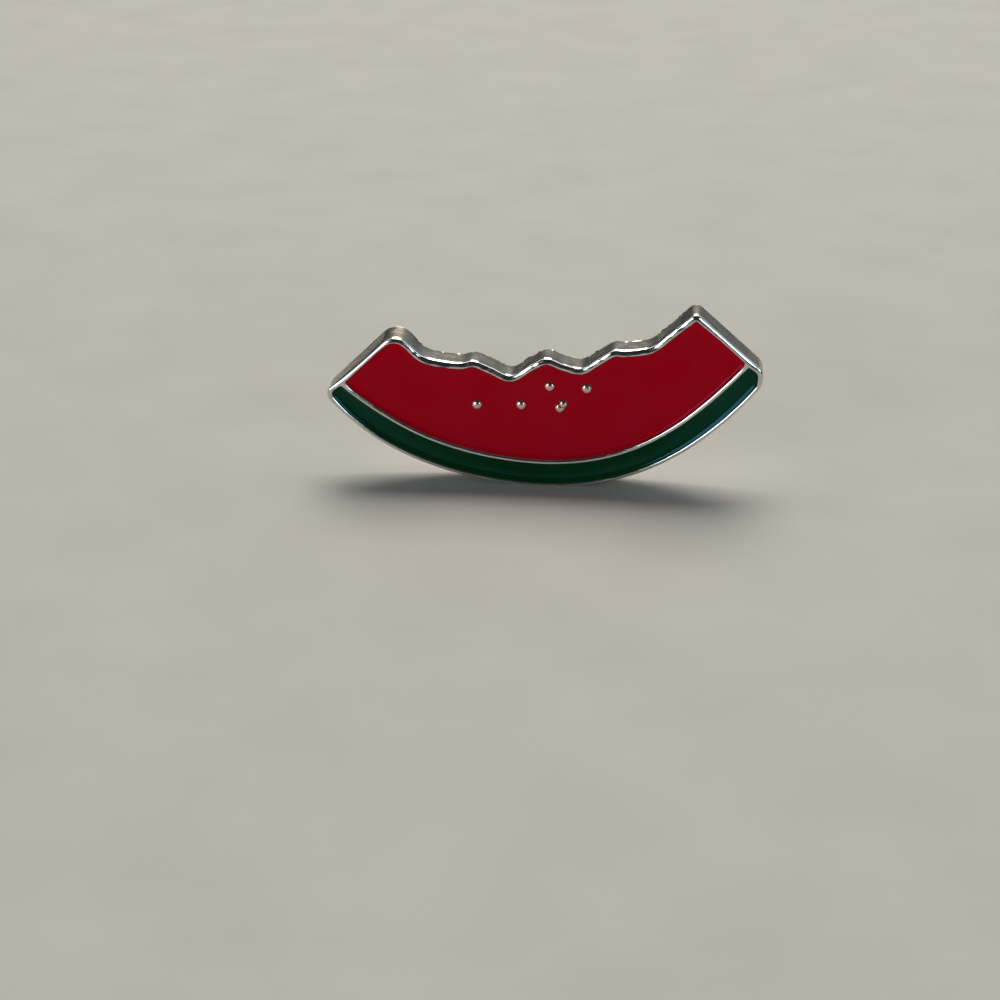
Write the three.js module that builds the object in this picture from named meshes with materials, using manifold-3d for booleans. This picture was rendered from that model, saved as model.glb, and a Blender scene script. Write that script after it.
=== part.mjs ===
// A soft-enamel lapel pin in the shape of an eaten slice of watermelon, standing on its rind edge.
// A struck metal plate carries a raised rim, a raised line between rind and flesh, and raised seeds.
// Red and green enamel fill its two pockets, and a post with a small butterfly clutch sits behind.
//
// Units are millimetres. Shapes are drawn in the pin's own frame: x runs along the slice, y up
// through it, and z out of its face, with the plate's back at z = 0 and the centre of the rind's
// arc at x = y = 0. The finished group is then turned a little, so that its right end is the
// higher one, and stood upright with its face towards -Y and +Z up.

import * as THREE from "three";
import { mergeVertices } from "three/addons/utils/BufferGeometryUtils.js";
import Module from "manifold-3d";

// The plate.
const PLATE_THICKNESS = 2.0;
const BACK_BEVEL = 0.07;
const POCKET_DEPTH = 0.6;

// The rim, which is thinner under the rind, and wider at the horns and at the tips.
const RIM_WIDTH = 0.42;
const LOWER_RIM_WIDTH = 0.3;
const RIM_THINNED_RADIUS = 18.16;
const HORN_RIM_EXTRA = 0.13;
const HORN_REACH = 1.5;
const TIP_RIM_EXTRA = 0.15;
const TIP_REACH = 1.0;

// The rim's section from the wall in to its crest: depth from the edge and drop from the crest, as
// shares of the rim's width. Under the rind the section is drawn in by a share of its own.
const RIM_SECTION = [
  [0, 0.66],
  [0.15, 0.27],
  [0.38, 0.12],
  [0.82, 0],
];
const LOWER_SECTION_SHARE = 0.3;

// How far the side wall leans in from back to front near each end of the slice. The lean comes in
// over a stretch of distance from the middle, and over a stretch of height.
const LEFT_LEAN = 0.18;
const RIGHT_LEAN = 0.1;
const LEAN_FROM_X = 8.0;
const LEAN_TO_X = 10.0;
const LEAN_FROM_Y = -11.4;
const LEAN_TO_Y = -9.0;

// The rind's arc, which swells and flattens a little along its length as a hand-drawn line does.
const RIND_RADIUS = 19.0;
const RIND_SWELL = 0.13;
const RIND_SWELL_WAVES = 6;
const RIND_ARC_STEPS = 56;

// How the pin stands: turned anticlockwise, on a small flat at the rind's lowest point. The room
// above that flat, which is all of the pin that is kept, is a cube of this size.
const STANDING_TURN = THREE.MathUtils.degToRad(4.44);
const REST_FLAT_DEPTH = 0.08;
const KEPT_ROOM = 80;

// The raised line between flesh and rind, which strays outwards near its two ends.
const LINE_INNER_RADIUS = 16.95;
const LINE_WIDTH = 0.34;
const LINE_OUTER_RADIUS = LINE_INNER_RADIUS + LINE_WIDTH;
const LINE_FLARE_START = THREE.MathUtils.degToRad(36);
const LINE_FLARE_LEFT = 5.1;
const LINE_FLARE_RIGHT = 2.2;
const LINE_REACH = Math.PI / 3;

// The slice's four corners before rounding, and their radii.
const LEFT_TIP = new THREE.Vector2(-15.25, -11.35);
const RIGHT_TIP = new THREE.Vector2(14.64, -11.2);
const LEFT_HORN = new THREE.Vector2(-10.0, -6.95);
const RIGHT_HORN = new THREE.Vector2(10.27, -6.67);
const LEFT_TIP_RADIUS = 0.6;
const RIGHT_TIP_RADIUS = 0.95;
const LEFT_HORN_RADIUS = 1.3;
const RIGHT_HORN_RADIUS = 0.6;
const CORNER_STEPS = 6;
const TIP_ROUNDING_SHARE = 1.1;

// The bitten edge: the crests between the bites, their floors and the slopes that join them.
const BITTEN_EDGE = [
  [-8.95, -8.2],
  [-8.3, -8.98],
  [-7.3, -9.38],
  [-5.8, -9.63],
  [-4.8, -9.53],
  [-3.6, -10.1],
  [-2.4, -10.68],
  [-1.1, -10.02],
  [0.1, -9.57],
  [1.3, -10.08],
  [2.4, -10.37],
  [3.4, -9.85],
  [4.6, -9.22],
  [5.5, -9.27],
  [7.1, -9.1],
  [8.2, -8.33],
  [9.5, -7.28],
].map(([x, y]) => new THREE.Vector2(x, y));
const BITTEN_EDGE_STEPS = 80;

// The seeds: struck dots that rise through the red enamel, the last one struck twice.
const SEED_RADIUS = 0.36;
const SEED_DOME = 0.28;
const SEED_DOME_STEPS = 4;
const SEED_TOP = PLATE_THICKNESS - 0.02;
const SEED_SIDES = 16;
const SEEDS = [
  { x: -4.86, y: -12.64 },
  { x: -1.85, y: -12.79 },
  { x: 0.19, y: -11.53 },
  { x: 2.68, y: -11.8 },
  { x: 0.77, y: -13.12 },
  { x: 1.02, y: -12.86, scale: 0.85 },
];

// The enamel, which dries a little below the rim.
const ENAMEL_RECESS = 0.2;

// The gap left between neighbours, how far a cutter runs past what it cuts, and the distance under
// which two corners are one.
const FIT_GAP = 0.02;
const CUT_MARGIN = 1;
const WELD_DISTANCE = 1e-4;

// The post, measured back from the plate.
const POST_RADIUS = 0.55;
const POST_LENGTH = 7.5;
const POST_TIP_LENGTH = 1.2;
const POST_TIP_RADIUS = 0.12;
const POST_TIP_ROUND = 0.04;
const POST_GROOVE_RADIUS = 0.43;
const POST_GROOVE_START = 1.5;
const POST_GROOVE_LENGTH = 0.3;
const POST_GROOVE_SLOPE = 0.2;
const POST_FILLET = 0.12;
const POST_PAD_RADIUS = 1.3;
const POST_PAD_THICKNESS = 0.28;
const POST_PAD_BEVEL = 0.1;
const POST_HOLE_RADIUS = 0.68;

// The butterfly clutch: a disc with a rolled edge, and a spring whose two wings curl behind it.
const CLUTCH_RADIUS = 4.1;
const CLUTCH_LIFT = 0.02;
const CLUTCH_FRONT = 0.34;
const CLUTCH_SHEET = 0.34;
const CLUTCH_BEAD = 0.3;
const CLUTCH_BEAD_CURL = 2.2;
const CLUTCH_BEAD_STEPS = 10;
const ROUND_SIDES = 40;
const SPRING_SHEET = 0.3;
const SPRING_WIDTH = 2.8;
const SPRING_STEPS = 56;

// The middle of one wing: x from the post, and the height it rises behind the disc.
const SPRING_WING = [
  [1.5, 0],
  [2.75, 0.25],
  [3.55, 1.1],
  [3.35, 2.15],
  [2.35, 2.55],
  [1.35, 2.1],
  [0.88, 1.3],
];

const wasm = await Module();
wasm.setup();

// ---- Solids -----------------------------------------------------------------------------------

// A closed geometry as a manifold-3d solid.
function toSolid(geometry) {
  const bare = geometry.clone();
  bare.deleteAttribute("normal");
  bare.deleteAttribute("uv");
  const merged = mergeVertices(bare, WELD_DISTANCE);
  return new wasm.Manifold(
    new wasm.Mesh({
      numProp: 3,
      vertProperties: merged.attributes.position.array,
      triVerts: new Uint32Array(merged.index.array),
    }),
  );
}

// A manifold-3d solid as a geometry.
function toGeometry(solid) {
  const { numProp, vertProperties, triVerts } = solid.getMesh();
  const geometry = new THREE.BufferGeometry();
  const positions = new Float32Array((vertProperties.length / numProp) * 3);
  for (let i = 0; i * numProp < vertProperties.length; i += 1) {
    positions.set(vertProperties.subarray(i * numProp, i * numProp + 3), i * 3);
  }
  geometry.setAttribute("position", new THREE.BufferAttribute(positions, 3));
  geometry.setIndex(new THREE.BufferAttribute(triVerts, 1));
  geometry.computeVertexNormals();
  return geometry;
}

// A flat outline given thickness from z = from to z = to.
function slab(points, from, to) {
  const geometry = new THREE.ExtrudeGeometry(new THREE.Shape(points), {
    depth: to - from,
    bevelEnabled: false,
  });
  return toSolid(geometry.translate(0, 0, from));
}

// A solid through rings of equally many points, from the lowest ring up.
function lofted(rings) {
  const count = rings[0].length;
  const last = (rings.length - 1) * count;
  const faces = [];
  for (let start = 0; start < last; start += count) {
    for (let i = 0; i < count; i += 1) {
      const [a, b] = [start + i, start + ((i + 1) % count)];
      faces.push(a, b, b + count, a, b + count, a + count);
    }
  }
  for (const [a, b, c] of THREE.ShapeUtils.triangulateShape(rings[0], [])) {
    faces.push(c, b, a);
  }
  for (const face of THREE.ShapeUtils.triangulateShape(rings.at(-1), [])) {
    faces.push(...face.map((i) => last + i));
  }
  const geometry = new THREE.BufferGeometry().setFromPoints(rings.flat());
  return toSolid(geometry.setIndex(faces));
}

// A solid turned about an axis along z. The profile is [radius, z] pairs from the lowest point
// on the axis round to the highest.
function turned(profile, x, y, sides) {
  const points = profile.map(([radius, z]) => new THREE.Vector2(radius, z));
  const geometry = new THREE.LatheGeometry(points, sides);
  return toSolid(geometry.rotateX(Math.PI / 2).translate(x, y, 0));
}

// ---- Outlines ---------------------------------------------------------------------------------

// A point's angle about the rind's centre, from straight down.
const angleOf = (point) => Math.atan2(point.x, -point.y);

// How far the rind strays from its circle at an angle.
const swell = (angle) => RIND_SWELL * Math.sin(RIND_SWELL_WAVES * angle);

// How far an edge of the line between flesh and rind strays from its circle.
function lineStray(angle) {
  const beyond = Math.max(Math.abs(angle) - LINE_FLARE_START, 0);
  return swell(angle) + (angle < 0 ? LINE_FLARE_LEFT : LINE_FLARE_RIGHT) * beyond ** 2;
}

// Points along an arc that strays from a circle of a radius, between two angles from straight down.
function arcPoints(radius, from, to, stray) {
  return Array.from({ length: RIND_ARC_STEPS + 1 }, (_, i) => {
    const angle = from + ((to - from) * i) / RIND_ARC_STEPS;
    const r = radius + stray(angle);
    return new THREE.Vector2(r * Math.sin(angle), -r * Math.cos(angle));
  });
}

// The points of a rounded corner between two straight edges.
function roundedCorner(before, corner, after, radius) {
  const towardsBefore = before.clone().sub(corner).normalize();
  const towardsAfter = after.clone().sub(corner).normalize();
  const halfAngle = Math.acos(towardsBefore.dot(towardsAfter)) / 2;
  const bisector = towardsBefore.clone().add(towardsAfter).normalize();
  const centre = corner.clone().addScaledVector(bisector, radius / Math.sin(halfAngle));
  const start = corner.clone().addScaledVector(towardsBefore, radius / Math.tan(halfAngle)).sub(centre);
  const end = corner.clone().addScaledVector(towardsAfter, radius / Math.tan(halfAngle)).sub(centre);
  const turn = Math.atan2(start.cross(end), start.dot(end));
  return Array.from({ length: CORNER_STEPS + 1 }, (_, i) =>
    start.clone().rotateAround(new THREE.Vector2(), (turn * i) / CORNER_STEPS).add(centre),
  );
}

// The whole slice, anticlockwise from the left end of the rind.
function sliceOutline() {
  const roundAngle = (radius) => (TIP_ROUNDING_SHARE * radius) / RIND_RADIUS;
  const arc = arcPoints(
    RIND_RADIUS,
    angleOf(LEFT_TIP) + roundAngle(LEFT_TIP_RADIUS),
    angleOf(RIGHT_TIP) - roundAngle(RIGHT_TIP_RADIUS),
    swell,
  );
  const bites = new THREE.SplineCurve([...BITTEN_EDGE].reverse()).getPoints(BITTEN_EDGE_STEPS);
  return [
    ...arc,
    ...roundedCorner(arc.at(-1), RIGHT_TIP, RIGHT_HORN, RIGHT_TIP_RADIUS),
    ...roundedCorner(RIGHT_TIP, RIGHT_HORN, bites[0], RIGHT_HORN_RADIUS),
    ...bites,
    ...roundedCorner(bites.at(-1), LEFT_HORN, LEFT_TIP, LEFT_HORN_RADIUS),
    ...roundedCorner(LEFT_HORN, LEFT_TIP, arc[0], LEFT_TIP_RADIUS),
  ];
}

// An anticlockwise outline drawn in by a distance of each point's own.
function inset(points, distances) {
  const inward = (a, b) => new THREE.Vector2(a.y - b.y, b.x - a.x).normalize();
  return points.map((point, i) => {
    const before = inward(points.at(i - 1), point);
    const after = inward(point, points[(i + 1) % points.length]);
    const mitre = before.clone().add(after);
    return point.clone().addScaledVector(mitre, distances[i] / (1 + before.dot(after)));
  });
}

// Everything on the bitten side of an edge of the line between flesh and rind, as a solid.
function withinLine(radius, from, to) {
  const edge = arcPoints(radius, -LINE_REACH, LINE_REACH, lineStray);
  return slab([...edge, new THREE.Vector2(0, 0)], from, to);
}

// 0 on the flesh's side, 1 along the rind's outer edge, and easing between them.
function rindShare(point) {
  return THREE.MathUtils.smoothstep(point.length(), LINE_OUTER_RADIUS, RIM_THINNED_RADIUS);
}

// 1 at the nearest of some corners, falling off over a reach from it.
function nearness(point, corners, reach) {
  const distance = Math.min(...corners.map((corner) => point.distanceTo(corner)));
  return Math.exp(-((distance / reach) ** 2));
}

// The rim's width at a point of the outline, measured in from the plate's back edge.
function rimWidth(point) {
  const width = THREE.MathUtils.lerp(RIM_WIDTH, LOWER_RIM_WIDTH, rindShare(point));
  const atHorn = HORN_RIM_EXTRA * nearness(point, [LEFT_HORN, RIGHT_HORN], HORN_REACH);
  const atTip = TIP_RIM_EXTRA * nearness(point, [LEFT_TIP, RIGHT_TIP], TIP_REACH);
  return width + atHorn + atTip;
}

// How far the side wall leans in at a point of the outline.
function lean({ x, y }) {
  const { smoothstep } = THREE.MathUtils;
  const left = LEFT_LEAN * smoothstep(-x, LEAN_FROM_X, LEAN_TO_X);
  const right = RIGHT_LEAN * smoothstep(x, LEAN_FROM_X, LEAN_TO_X);
  return (left + right) * smoothstep(y, LEAN_FROM_Y, LEAN_TO_Y);
}

// ---- The plate and its enamel -----------------------------------------------------------------

const outline = sliceOutline();
const rimWidths = outline.map(rimWidth);
const leans = outline.map(lean);
const pocketFloor = PLATE_THICKNESS - POCKET_DEPTH;
const enamelTop = PLATE_THICKNESS - ENAMEL_RECESS;
const standingHeight = ({ x, y }) => x * Math.sin(STANDING_TURN) + y * Math.cos(STANDING_TURN);
const restHeight = Math.min(...outline.map(standingHeight)) + REST_FLAT_DEPTH;

// What a pocket holds, drawn in by a gap from its walls: red flesh inside the line, green rind
// outside it.
function pocketFill(colour, gap, from, to) {
  const whole = slab(inset(outline, rimWidths.map((width) => width + gap)), from, to);
  return colour === "red"
    ? whole.intersect(withinLine(LINE_INNER_RADIUS - gap, from - CUT_MARGIN, to + CUT_MARGIN))
    : whole.subtract(withinLine(LINE_OUTER_RADIUS + gap, from - CUT_MARGIN, to + CUT_MARGIN));
}

// A seed grown by a gap, from a height up to its domed top.
function seed({ x, y, scale = 1 }, gap, from) {
  const radius = SEED_RADIUS * scale + gap;
  const dome = new THREE.EllipseCurve(0, SEED_TOP - SEED_DOME, radius, SEED_DOME + gap, 0, Math.PI / 2);
  const profile = dome.getPoints(SEED_DOME_STEPS).map(({ x: r, y: z }) => [Math.max(r, 0), z]);
  return turned([[0, from], [radius, from], ...profile], x, y, SEED_SIDES);
}

// One ring of the plate's front edge, at a share of the depth and of the drop of its section.
function edgeRing(depthShare, dropShare) {
  const sizes = outline.map((point, i) => {
    const share = THREE.MathUtils.lerp(1, LOWER_SECTION_SHARE, rindShare(point));
    return share * (rimWidths[i] - leans[i]);
  });
  const ring = inset(outline, sizes.map((size, i) => leans[i] + depthShare * size));
  return ring.map(({ x, y }, i) => new THREE.Vector3(x, y, PLATE_THICKNESS - dropShare * sizes[i]));
}

// The struck plate: its body, sunk pockets, seeds, and the small flat that it stands on.
function plate() {
  const level = (points, z) => points.map(({ x, y }) => new THREE.Vector3(x, y, z));
  let solid = lofted([
    level(inset(outline, outline.map(() => BACK_BEVEL)), 0),
    level(outline, BACK_BEVEL),
    ...RIM_SECTION.map(([depth, drop]) => edgeRing(depth, drop)),
  ]);
  for (const colour of ["red", "green"]) {
    solid = solid.subtract(pocketFill(colour, 0, pocketFloor, PLATE_THICKNESS + CUT_MARGIN));
  }
  for (const place of SEEDS) {
    solid = solid.add(seed(place, 0, pocketFloor - BACK_BEVEL));
  }
  const keep = new THREE.BoxGeometry(KEPT_ROOM, KEPT_ROOM, KEPT_ROOM);
  keep.translate(0, restHeight + KEPT_ROOM / 2, 0).rotateZ(-STANDING_TURN);
  return solid.intersect(toSolid(keep));
}

// What fills one pocket, a little below the rim.
function enamel(colour) {
  let solid = pocketFill(colour, FIT_GAP, pocketFloor + FIT_GAP, enamelTop);
  if (colour === "red") {
    for (const place of SEEDS) {
      solid = solid.subtract(seed(place, FIT_GAP, pocketFloor - BACK_BEVEL));
    }
  }
  return solid;
}

// ---- The post and its clutch ------------------------------------------------------------------

// The post stands as high as the clutch's disc needs to clear the surface the pin stands on.
const postY = (restHeight + CLUTCH_RADIUS + CLUTCH_LIFT) / Math.cos(STANDING_TURN);

// A pointed needle with a locking groove, on a pad that joins it to the plate.
function post() {
  const tip = -POST_LENGTH;
  const groove = tip + POST_GROOVE_START;
  const neck = groove + POST_GROOVE_SLOPE;
  return turned(
    [
      [0, tip],
      [POST_TIP_RADIUS, tip + POST_TIP_ROUND],
      [POST_RADIUS, tip + POST_TIP_LENGTH],
      [POST_RADIUS, groove],
      [POST_GROOVE_RADIUS, neck],
      [POST_GROOVE_RADIUS, neck + POST_GROOVE_LENGTH],
      [POST_RADIUS, neck + POST_GROOVE_LENGTH + POST_GROOVE_SLOPE],
      [POST_RADIUS, -POST_PAD_THICKNESS - POST_FILLET],
      [POST_RADIUS + POST_FILLET, -POST_PAD_THICKNESS],
      [POST_PAD_RADIUS - POST_PAD_BEVEL, -POST_PAD_THICKNESS],
      [POST_PAD_RADIUS, -POST_PAD_THICKNESS + POST_PAD_BEVEL],
      [POST_PAD_RADIUS, -FIT_GAP],
      [0, -FIT_GAP],
    ],
    0,
    postY,
    ROUND_SIDES,
  );
}

// The clutch's base: a stamped disc with a rolled edge and a hole for the post.
function clutchBase() {
  const beadRadius = CLUTCH_RADIUS - CLUTCH_BEAD;
  const curl = CLUTCH_BEAD_CURL;
  const bead = new THREE.EllipseCurve(beadRadius, 0, CLUTCH_BEAD, CLUTCH_BEAD, -curl, curl);
  const beadZ = -CLUTCH_FRONT - CLUTCH_BEAD;
  const front = beadZ + CLUTCH_SHEET / 2;
  const back = front - CLUTCH_SHEET;
  const profile = [
    [POST_HOLE_RADIUS, back],
    ...bead.getPoints(CLUTCH_BEAD_STEPS).map(({ x, y }) => [x, beadZ + y]),
    [POST_HOLE_RADIUS, front],
    [POST_HOLE_RADIUS, back],
  ];
  return turned(profile, 0, postY, ROUND_SIDES);
}

// The clutch's spring: one ribbon that curls into a wing on either side of the post.
function clutchSpring() {
  const level = CLUTCH_FRONT + 2 * CLUTCH_BEAD + FIT_GAP + SPRING_SHEET / 2;
  const mirrored = SPRING_WING.map(([x, rise]) => [-x, rise]).reverse();
  const middle = [...mirrored, [0, 0], ...SPRING_WING];
  const curve = new THREE.SplineCurve(middle.map(([x, rise]) => new THREE.Vector2(x, level + rise)));
  const side = (offset) =>
    Array.from({ length: SPRING_STEPS + 1 }, (_, i) => {
      const along = curve.getTangent(i / SPRING_STEPS);
      const out = new THREE.Vector2(-along.y, along.x).multiplyScalar(offset);
      return curve.getPoint(i / SPRING_STEPS).add(out);
    });
  const ribbon = [...side(-SPRING_SHEET / 2), ...side(SPRING_SHEET / 2).reverse()];
  const geometry = new THREE.ExtrudeGeometry(new THREE.Shape(ribbon), {
    depth: SPRING_WIDTH,
    bevelEnabled: false,
  });
  // The ribbon's section lies along x and back from the plate, so it is laid over onto its side.
  geometry.translate(0, 0, -SPRING_WIDTH / 2).rotateX(-Math.PI / 2).translate(0, postY, 0);
  const deep = -POST_LENGTH - CUT_MARGIN;
  const holeProfile = [
    [0, deep],
    [POST_HOLE_RADIUS, deep],
    [POST_HOLE_RADIUS, 0],
    [0, 0],
  ];
  return toSolid(geometry).subtract(turned(holeProfile, 0, postY, ROUND_SIDES));
}

// ---- The finished pin -------------------------------------------------------------------------

const silver = () => new THREE.MeshStandardMaterial({ color: 0xb9b8b4, roughness: 0.22, metalness: 1 });
const glossy = (color) => new THREE.MeshStandardMaterial({ color, roughness: 0.12, metalness: 0 });

const pieces = {
  plate: [plate(), silver()],
  enamel_red: [enamel("red"), glossy(0x8a0818)],
  enamel_green: [enamel("green"), glossy(0x0f3a26)],
  post: [post(), silver()],
  clutch_base: [clutchBase(), silver()],
  clutch_spring: [clutchSpring(), silver()],
};

const flat = new THREE.Group();
for (const [name, [solid, material]] of Object.entries(pieces)) {
  const mesh = new THREE.Mesh(toGeometry(solid), material);
  mesh.name = name;
  flat.add(mesh);
}

// Turned and stood upright, with the origin in the middle of the underside.
flat.rotation.set(Math.PI / 2, 0, STANDING_TURN);
const pin = new THREE.Group();
pin.name = "lapel_pin";
pin.add(flat);
pin.updateMatrixWorld(true);
const size = new THREE.Box3().setFromObject(pin, true);
const middle = size.getCenter(new THREE.Vector3());
flat.position.set(-middle.x, -middle.y, -size.min.z);

export default pin;
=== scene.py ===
"""Looks for a soft-enamel lapel pin shaped like an eaten slice of watermelon.

Outlines are drawn in the pin's own frame, in millimetres: x along the slice, y up through it, and
height out of its face, with the plate's back at height 0 and the centre of the rind's arc at
x = y = 0. place() carries them into the CAD frame, in metres, where the pin stands a little turned.
"""

import math

import bmesh
import bpy
import numpy as np
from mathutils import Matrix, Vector, noise
from mathutils.geometry import tessellate_polygon


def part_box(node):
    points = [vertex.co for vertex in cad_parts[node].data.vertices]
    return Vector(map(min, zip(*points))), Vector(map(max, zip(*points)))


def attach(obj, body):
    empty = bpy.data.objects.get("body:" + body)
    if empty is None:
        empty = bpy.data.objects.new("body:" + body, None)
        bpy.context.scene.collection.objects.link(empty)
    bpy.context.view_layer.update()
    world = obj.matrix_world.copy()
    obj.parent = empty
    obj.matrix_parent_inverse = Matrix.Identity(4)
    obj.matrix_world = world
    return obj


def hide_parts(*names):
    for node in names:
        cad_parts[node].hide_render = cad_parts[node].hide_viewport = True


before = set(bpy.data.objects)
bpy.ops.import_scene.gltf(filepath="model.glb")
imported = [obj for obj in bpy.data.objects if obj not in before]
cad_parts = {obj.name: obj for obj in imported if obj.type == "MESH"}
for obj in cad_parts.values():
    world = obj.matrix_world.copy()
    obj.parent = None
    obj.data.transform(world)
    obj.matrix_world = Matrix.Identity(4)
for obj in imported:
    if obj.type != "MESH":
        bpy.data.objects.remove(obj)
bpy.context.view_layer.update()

MM = 0.001

# The plate, as in the CAD model. The rind's arc stops short of a tip by TIP_CUT of the tip's radii.
PLATE_THICKNESS = 2.0
RIM_WIDTH = 0.42
LOWER_RIM_WIDTH = 0.3
HORN_RIM_EXTRA = 0.13
HORN_REACH = 1.5
TIP_RIM_EXTRA = 0.15
TIP_REACH = 1.0
POCKET_DEPTH = 0.6
LEFT_LEAN, RIGHT_LEAN = 0.18, 0.1
RIND_RADIUS = 19.0
RIND_SWELL = 0.13
RIND_SWELL_WAVES = 6
STANDING_TURN = math.radians(4.44)
REST_FLAT_DEPTH = 0.08
LINE_INNER_RADIUS = 16.95
LINE_WIDTH = 0.34
LINE_FLARE_START = math.radians(36)
LINE_FLARE_LEFT = 5.1
LINE_FLARE_RIGHT = 2.2
LEFT_TIP, RIGHT_TIP = (-15.25, -11.35), (14.64, -11.2)
LEFT_HORN, RIGHT_HORN = (-10.0, -6.95), (10.27, -6.67)
LEFT_TIP_RADIUS, RIGHT_TIP_RADIUS = 0.6, 0.95
TIP_CUT = 1.1
LEFT_HORN_RADIUS, RIGHT_HORN_RADIUS = 1.3, 0.6
BITTEN_EDGE = [
    (-8.95, -8.2),
    (-8.3, -8.98),
    (-7.3, -9.38),
    (-5.8, -9.63),
    (-4.8, -9.53),
    (-3.6, -10.1),
    (-2.4, -10.68),
    (-1.1, -10.02),
    (0.1, -9.57),
    (1.3, -10.08),
    (2.4, -10.37),
    (3.4, -9.85),
    (4.6, -9.22),
    (5.5, -9.27),
    (7.1, -9.1),
    (8.2, -8.33),
    (9.5, -7.28),
]
SEEDS = [
    (-4.86, -12.64, 1.0),
    (-1.85, -12.79, 1.0),
    (0.19, -11.53, 1.0),
    (2.68, -11.8, 1.0),
    (0.77, -13.12, 1.0),
    (1.02, -12.86, 0.85),
]
SEED_RADIUS = 0.36
SEED_DOME = 0.28
SEED_LEAN = 0.5
SEED_FLATNESS = 0.78
SEED_RECESS = 0.02
SEED_TOP = PLATE_THICKNESS - SEED_RECESS
FIT_GAP = 0.02
INSIDE_THE_CAD = 0.002

# Where the side wall's lean sets in, outwards along the slice and up it. Smoothing spreads it further.
LEFT_LEAN_RUN, RIGHT_LEAN_RUN = (8.3, 9.5), (8.5, 10.0)
LEAN_RISE = (-11.2, -9.2)

# The post and the clutch, as in the CAD model, measured back from the plate. The wing's points are
# distances from the post's axis and behind the spring's own level, from its foot to its end.
CLUTCH_RADIUS = 4.1
CLUTCH_FRONT = 0.34
CLUTCH_SHEET = 0.34
CLUTCH_BEAD = 0.3
POST_RADIUS = 0.55
POST_LENGTH = 7.5
POST_PAD_RADIUS = 1.3
POST_PAD_THICKNESS = 0.28
POST_TIP_LENGTH = 1.2
POST_HOLE_RADIUS = 0.68
SPRING_SHEET = 0.3
SPRING_WIDTH = 2.8
SPRING_WING = [
    (1.5, 0),
    (2.75, 0.25),
    (3.55, 1.1),
    (3.35, 2.15),
    (2.35, 2.55),
    (1.35, 2.1),
    (0.88, 1.3),
]

# Fineness of the meshes.
LOOP_STEP = 0.09
CORNER_STEPS = 14
BITE_STEPS = 360
ROUND_STEPS = 8
SUPPORT = 0.012
WALL_RINGS = 22
WALL_CROWDING = 1.7
ENAMEL_STEP = 0.055
ENAMEL_EDGE_LINES = [0, 0.012, 0.028, 0.05, 0.08, 0.12, 0.17, 0.23, 0.3]
SEED_SIDES = 40
TURN_SIDES = 96
BEAD_STEPS = 20
SPRING_STEPS = 260
BEVEL_SEGMENTS = 3
BEVEL_ANGLE = math.radians(40)

# How points are handled: what counts as one point, in millimetres, and as no edge, in metres; how far
# round a corner, in radii, a loop gives way to its fillet; how much of an edge a rounded corner may take
# and from which half angle it isn't one; and how many times values round a loop are evened out.
SAME_POINT = 1e-5
NO_LENGTH = 1e-9
FILLET_REACH = 2.2
CORNER_SHARE = 0.45
NEARLY_STRAIGHT = math.radians(88)
SMOOTHING = 40
BITE_SMOOTHING = 12
SHOULDER_SMOOTHING = 6
DISTANCE_BATCH = 2000

# The ribs stamped across the clutch's wings.
RIBS = 5
RIBS_START = 3.1
RIB_SPACING = 0.42
RIB_HEIGHT = 0.09

# The rim's section from the wall in to its crest: depth from the edge and drop from the crest,
# as shares of the rim's width. Under the rind it is drawn in by a share of its own.
RIM_SECTION = [
    (0, 0.66),
    (0.03, 0.53),
    (0.15, 0.27),
    (0.24, 0.195),
    (0.38, 0.12),
    (0.57, 0.056),
    (0.82, 0),
]
RIM_SECTION_STEPS = 14
LOWER_SECTION_SHARE = 0.3
RIM_VARIES = 0.1
BITE_RIM_VARIES = 0.22

# How the plate's other edges turn, as shares of a width or in millimetres. Polishing left them uneven,
# and the side wall a little hollow.
SHOULDER_SHARES = {"red": 0.07, "green": 0.6}
LINE_SHOULDER_SHARES = {"red": 0.74, "green": 0.12}
SHOULDER_VARIES = 0.1
BACK_ROUND = 0.07
BACK_ROUND_VARIES = 0.5
POCKET_CORNER_RADIUS = 0.14
WALL_UNEVENNESS = 0.012
FINE_WALL_SHARE = 0.3

# Round the bites the wall draws in towards the back, and the die left a few specks of burr there.
BACK_TAPER = 0.035
BACK_TAPER_HEIGHT = 0.32
BURR = 0.05
BURR_HEIGHT = 0.12
BURR_SPREAD = 0.05
BURR_SHARPNESS = 3.4
BURR_THRESHOLD = 0.2

# Small dents in the rim's front edge.
DENTS = [(13.0, -13.9), (12.35, -14.45), (-11.95, -14.8), (6.2, -17.95)]
DENT_REACH = 0.12
DENT_SIZE = 0.08

# How the enamel lies: it climbs the metal at its edges, barely at the seeds, and sags between them.
ENAMEL_RECESS = 0.2
ENAMEL_LEVEL = PLATE_THICKNESS - ENAMEL_RECESS
ENAMEL_CLIMB = {"red": 0.13, "green": 0.18}
ENAMEL_CLIMB_REACH = {"red": 0.13, "green": 0.26}
SEED_CLIMB_SHARE = 0.25
SEED_CLIMB_SPREAD = 2
ENAMEL_SAG = 0.035
ENAMEL_SAG_REACH = 0.9
ENAMEL_UNEVENNESS = 0.004
ENAMEL_OVERLAP = 0.012

# What varies smoothly at random: the reach in millimetres that it changes over, and its place in the
# noise, counted in steps.
UNEVEN = {
    "back edge": (0.55, 1),
    "wall": (1.6, 2),
    "fine wall": (0.4, 3),
    "rim": (1.3, 4),
    "shoulder": (0.7, 5),
    "burr": (0.24, 7),
    "enamel": (2.4, 8),
    "bitten rim": (0.4, 9),
}
NOISE_STEP = (7.3, 3.1, 5.7)

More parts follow.
